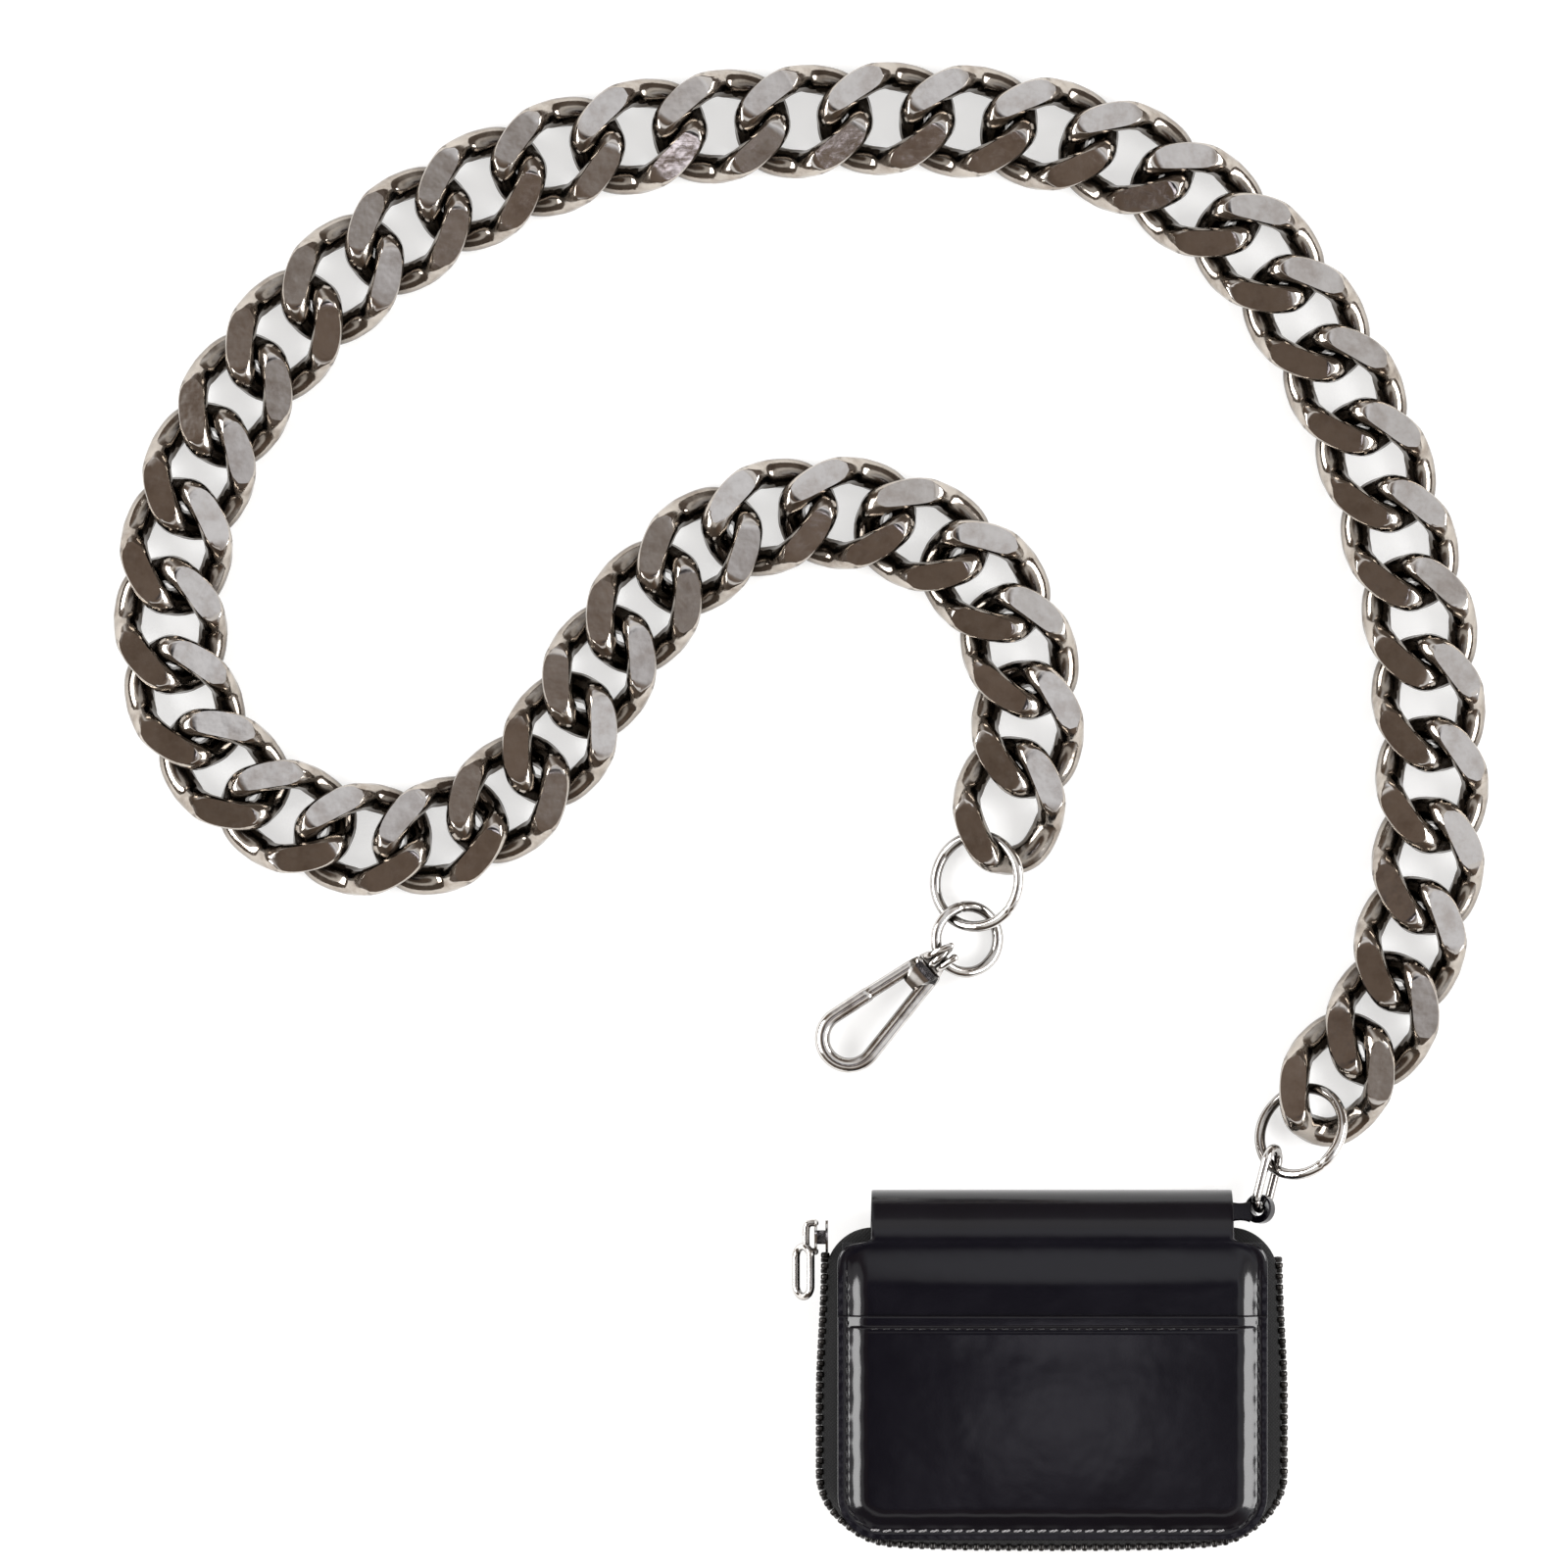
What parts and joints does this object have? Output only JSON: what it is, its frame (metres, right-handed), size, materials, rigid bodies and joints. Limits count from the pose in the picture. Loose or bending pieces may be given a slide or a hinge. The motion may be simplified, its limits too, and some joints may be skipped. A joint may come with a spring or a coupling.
{
  "type": "chain wallet",
  "caption": "Zip-around leather wallet with a slip pocket, hung from a heavy curb chain that ends in a ring and a teardrop snap hook.",
  "frame": {"origin": "centre of the back cover's outer face, where the wallet lies on a surface", "axes": "+Z out of the surface through the closed wallet, +Y from the zip's bottom edge to the spine, +X to the wallet's right, which is the side the chain leaves from"},
  "size_m": [0.3361, 0.3636, 0.024],
  "materials": {
    "polished_leather": "smooth black, polished to a soft gloss",
    "lining_cloth": "plain black lining cloth",
    "zip_tape": "ribbed black woven tape",
    "zip_teeth_metal": "dark plated teeth with worn bright edges",
    "polished_nickel": "nickel plated, diamond-cut flats",
    "bright_steel": "bright polished"
  },
  "bodies": {
    "back_half": {"back_cover": "polished_leather", "back_lining": "lining_cloth", "back_card_slot_1": "polished_leather", "back_card_slot_2": "polished_leather", "back_card_slot_3": "polished_leather", "coin_divider_back": "lining_cloth", "coin_divider_front": "lining_cloth", "gusset_left": "lining_cloth", "gusset_right": "lining_cloth", "spine": "polished_leather", "zip_tape_back": "zip_tape", "zip_teeth_back": "zip_teeth_metal", "link_loop": "polished_leather"},
    "front_half": {"front_cover": "polished_leather", "front_lining": "lining_cloth", "front_pocket": "polished_leather", "front_card_slot_1": "polished_leather", "front_card_slot_2": "polished_leather", "zip_tape_front": "zip_tape", "zip_teeth_front": "zip_teeth_metal"},
    "slider": {"zip_slider": "bright_steel"},
    "pull": {"zip_pull": "bright_steel"},
    "oval_link": {"oval_link": "bright_steel"},
    "wallet_ring": {"wallet_ring": "bright_steel"},
    "chain_pair_01": {"chain_pair_01": "polished_nickel"},
    "chain_pair_02": {"chain_pair_02": "polished_nickel"},
    "chain_pair_03": {"chain_pair_03": "polished_nickel"},
    "chain_pair_04": {"chain_pair_04": "polished_nickel"},
    "chain_pair_05": {"chain_pair_05": "polished_nickel"},
    "chain_pair_06": {"chain_pair_06": "polished_nickel"},
    "chain_pair_07": {"chain_pair_07": "polished_nickel"},
    "chain_pair_08": {"chain_pair_08": "polished_nickel"},
    "chain_pair_09": {"chain_pair_09": "polished_nickel"},
    "chain_pair_10": {"chain_pair_10": "polished_nickel"},
    "chain_pair_11": {"chain_pair_11": "polished_nickel"},
    "chain_pair_12": {"chain_pair_12": "polished_nickel"},
    "chain_pair_13": {"chain_pair_13": "polished_nickel"},
    "chain_pair_14": {"chain_pair_14": "polished_nickel"},
    "chain_pair_15": {"chain_pair_15": "polished_nickel"},
    "chain_pair_16": {"chain_pair_16": "polished_nickel"},
    "chain_pair_17": {"chain_pair_17": "polished_nickel"},
    "chain_pair_18": {"chain_pair_18": "polished_nickel"},
    "chain_pair_19": {"chain_pair_19": "polished_nickel"},
    "chain_pair_20": {"chain_pair_20": "polished_nickel"},
    "chain_pair_21": {"chain_pair_21": "polished_nickel"},
    "chain_pair_22": {"chain_pair_22": "polished_nickel"},
    "chain_pair_23": {"chain_pair_23": "polished_nickel"},
    "end_ring": {"end_ring": "bright_steel"},
    "small_ring": {"small_ring": "bright_steel"},
    "hook": {"hook_body": "bright_steel", "gate_pin": "bright_steel"},
    "gate": {"hook_gate": "bright_steel"}
  },
  "joints": [
    {"name": "cover_opening", "type": "hinge", "parent": "back_half", "child": "front_half", "pos_m": [0, 0.03115, 0.02215], "axis": [-1, 0, 0], "range_deg": [0, 95]},
    {"name": "zip_travel", "type": "slide", "parent": "back_half", "child": "slider", "axis": [0, -1, 0], "range_m": [0, 0.05]},
    {"name": "pull_swing", "type": "hinge", "parent": "slider", "child": "pull", "pos_m": [-0.05955, 0.0284, 0.012], "axis": [0, 0, -1], "range_deg": [0, 40]},
    {"name": "oval_link_swing", "type": "hinge", "parent": "back_half", "child": "oval_link", "pos_m": [0.05106, 0.03883, 0.0086], "axis": [0, 0, -1], "range_deg": [-3, 8]},
    {"name": "wallet_ring_swing", "type": "hinge", "parent": "oval_link", "child": "wallet_ring", "pos_m": [0.05392, 0.05027, 0.0086], "axis": [0, 0, -1], "range_deg": [-2, 10]},
    {"name": "chain_joint_01", "type": "hinge", "parent": "wallet_ring", "child": "chain_pair_01", "pos_m": [0.06388, 0.06247, 0.0052], "axis": [0, 0, -1], "range_deg": [-1, 10]},
    {"name": "chain_joint_02", "type": "hinge", "parent": "chain_pair_01", "child": "chain_pair_02", "pos_m": [0.08453, 0.0942, 0.0052], "axis": [0, 0, -1], "range_deg": [-1, 12]},
    {"name": "chain_joint_03", "type": "hinge", "parent": "chain_pair_02", "child": "chain_pair_03", "pos_m": [0.09295, 0.13278, 0.0052], "axis": [0, 0, -1], "range_deg": [-1, 8]},
    {"name": "chain_joint_04", "type": "hinge", "parent": "chain_pair_03", "child": "chain_pair_04", "pos_m": [0.09158, 0.17266, 0.0052], "axis": [0, 0, -1], "range_deg": [-1, 6]},
    {"name": "chain_joint_05", "type": "hinge", "parent": "chain_pair_04", "child": "chain_pair_05", "pos_m": [0.08272, 0.21149, 0.0052], "axis": [0, 0, -1], "range_deg": [-1, 6]},
    {"name": "chain_joint_06", "type": "hinge", "parent": "chain_pair_05", "child": "chain_pair_06", "pos_m": [0.06746, 0.24822, 0.0052], "axis": [0, 0, -1], "range_deg": [-1, 7]},
    {"name": "chain_joint_07", "type": "hinge", "parent": "chain_pair_06", "child": "chain_pair_07", "pos_m": [0.04337, 0.27952, 0.0052], "axis": [0, 0, -1], "range_deg": [-1, 11]},
    {"name": "chain_joint_08", "type": "hinge", "parent": "chain_pair_07", "child": "chain_pair_08", "pos_m": [0.00917, 0.29932, 0.0052], "axis": [0, 0, -1], "range_deg": [-1, 11]},
    {"name": "chain_joint_09", "type": "hinge", "parent": "chain_pair_08", "child": "chain_pair_09", "pos_m": [-0.03036, 0.30579, 0.0052], "axis": [0, 0, -1], "range_deg": [-1, 6]},
    {"name": "chain_joint_10", "type": "hinge", "parent": "chain_pair_09", "child": "chain_pair_10", "pos_m": [-0.07081, 0.3049, 0.0052], "axis": [0, 0, -1], "range_deg": [-1, 6]},
    {"name": "chain_joint_11", "type": "hinge", "parent": "chain_pair_10", "child": "chain_pair_11", "pos_m": [-0.11107, 0.29937, 0.0052], "axis": [0, 0, -1], "range_deg": [-1, 8]},
    {"name": "chain_joint_12", "type": "hinge", "parent": "chain_pair_11", "child": "chain_pair_12", "pos_m": [-0.14865, 0.28384, 0.0052], "axis": [0, 0, -1], "range_deg": [-1, 7]},
    {"name": "chain_joint_13", "type": "hinge", "parent": "chain_pair_12", "child": "chain_pair_13", "pos_m": [-0.18084, 0.25974, 0.0052], "axis": [0, 0, -1], "range_deg": [-1, 8]},
    {"name": "chain_joint_14", "type": "hinge", "parent": "chain_pair_13", "child": "chain_pair_14", "pos_m": [-0.20435, 0.22838, 0.0052], "axis": [0, 0, -1], "range_deg": [-1, 10]},
    {"name": "chain_joint_15", "type": "hinge", "parent": "chain_pair_14", "child": "chain_pair_15", "pos_m": [-0.21526, 0.19153, 0.0052], "axis": [0, 0, -1], "range_deg": [-1, 14]},
    {"name": "chain_joint_16", "type": "hinge", "parent": "chain_pair_15", "child": "chain_pair_16", "pos_m": [-0.20761, 0.15469, 0.0052], "axis": [0, 0, -1], "range_deg": [-1, 18]},
    {"name": "chain_joint_17", "type": "hinge", "parent": "chain_pair_16", "child": "chain_pair_17", "pos_m": [-0.17805, 0.13217, 0.0052], "axis": [0, 0, -1], "range_deg": [-1, 18]},
    {"name": "chain_joint_18", "type": "hinge", "parent": "chain_pair_17", "child": "chain_pair_18", "pos_m": [-0.14138, 0.13487, 0.0052], "axis": [0, 0, -1], "range_deg": [-1, 18]},
    {"name": "chain_joint_19", "type": "hinge", "parent": "chain_pair_18", "child": "chain_pair_19", "pos_m": [-0.11561, 0.16225, 0.0052], "axis": [0, 0, -1], "range_deg": [-1, 6]},
    {"name": "chain_joint_20", "type": "hinge", "parent": "chain_pair_19", "child": "chain_pair_20", "pos_m": [-0.09303, 0.19313, 0.0052], "axis": [0, 0, 1], "range_deg": [-1, 15]},
    {"name": "chain_joint_21", "type": "hinge", "parent": "chain_pair_20", "child": "chain_pair_21", "pos_m": [-0.05952, 0.20886, 0.0052], "axis": [0, 0, 1], "range_deg": [-1, 18]},
    {"name": "chain_joint_22", "type": "hinge", "parent": "chain_pair_21", "child": "chain_pair_22", "pos_m": [-0.02387, 0.19829, 0.0052], "axis": [0, 0, 1], "range_deg": [-1, 18]},
    {"name": "chain_joint_23", "type": "hinge", "parent": "chain_pair_22", "child": "chain_pair_23", "pos_m": [-0.00672, 0.16588, 0.0052], "axis": [0, 0, 1], "range_deg": [-1, 18]},
    {"name": "end_ring_swing", "type": "hinge", "parent": "chain_pair_23", "child": "end_ring", "pos_m": [-0.01269, 0.12779, 0.0052], "axis": [0, 0, 1], "range_deg": [-5, 4]},
    {"name": "small_ring_swing", "type": "hinge", "parent": "end_ring", "child": "small_ring", "pos_m": [-0.01952, 0.11126, 0.00507], "axis": [0, 0, 1], "range_deg": [-10, 2]},
    {"name": "hook_swing", "type": "hinge", "parent": "small_ring", "child": "hook", "pos_m": [-0.02707, 0.10068, 0.0042], "axis": [0, 0, 1], "range_deg": [-2, 5]},
    {"name": "gate_opening", "type": "hinge", "parent": "hook", "child": "gate", "pos_m": [-0.03216, 0.09945, 0.0042], "axis": [0, 0, 1], "range_deg": [0, 16], "stiffness_Nm_per_rad": 0.02, "springref_deg": -5.73}
  ]
}
